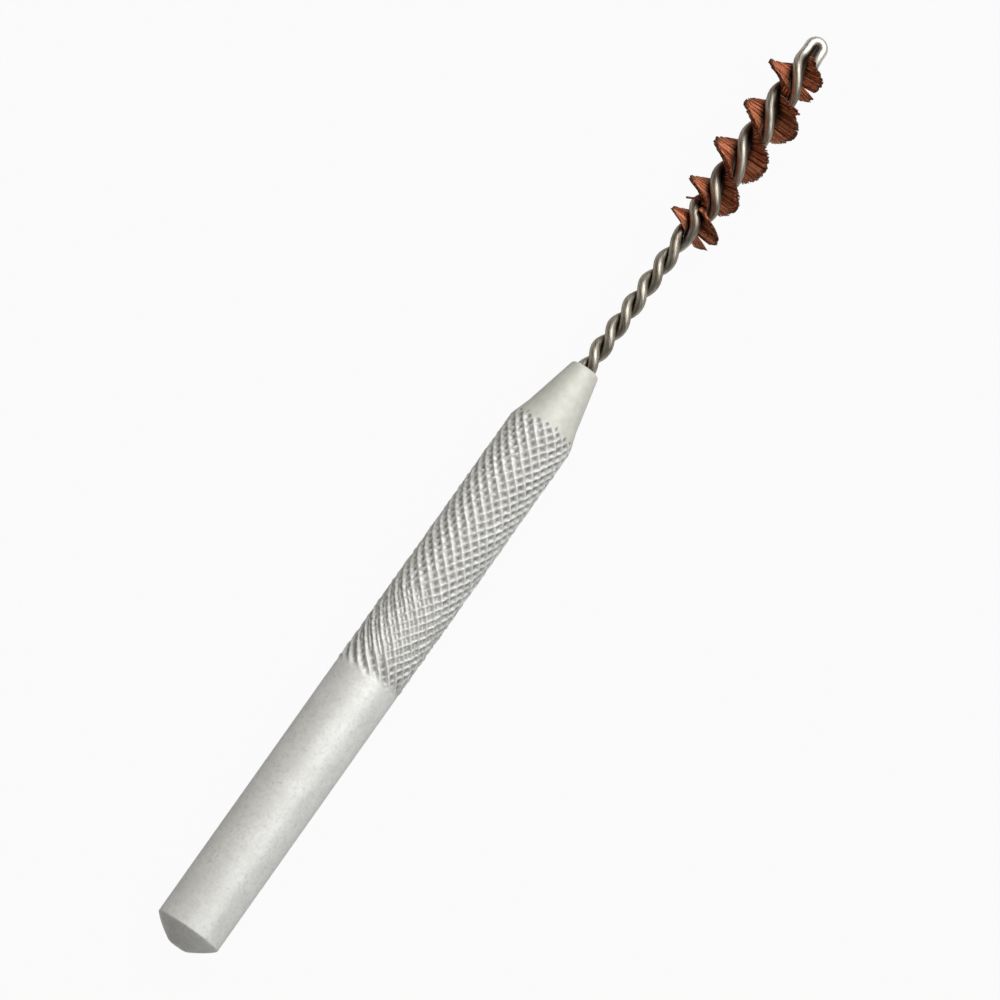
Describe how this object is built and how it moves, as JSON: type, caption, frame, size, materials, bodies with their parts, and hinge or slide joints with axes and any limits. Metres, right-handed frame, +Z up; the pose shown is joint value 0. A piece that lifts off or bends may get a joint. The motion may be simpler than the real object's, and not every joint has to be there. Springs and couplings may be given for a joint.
{
  "type": "tip cleaning brush",
  "caption": "Slim hand brush for cleaning soldering tips and bores: a knurled metal handle, a twisted-wire stem with an eye at its end, and a spiral of short bronze bristles.",
  "frame": {"origin": "on the resting plane, under the middle of the overall length", "axes": "+X along the tool from the butt to the eye, +Z up as it lies on a bench"},
  "size_m": [0.128, 0.0082, 0.0082],
  "materials": {
    "handle_metal": "satin, finely blasted, with a rolled diamond knurl on the grip",
    "stem_wire": "drawn wire, slightly tarnished",
    "bristle_metal": "fine copper-coloured bronze filaments"
  },
  "bodies": {
    "root": {"handle": "handle_metal", "twisted_wire_stem": "stem_wire", "bristle_row_1": "bristle_metal", "bristle_row_2": "bristle_metal", "bristle_row_3": "bristle_metal", "bristle_row_4": "bristle_metal", "bristle_row_5": "bristle_metal", "bristle_row_6": "bristle_metal", "bristle_row_7": "bristle_metal", "bristle_row_8": "bristle_metal", "bristle_row_9": "bristle_metal"}
  },
  "joints": []
}
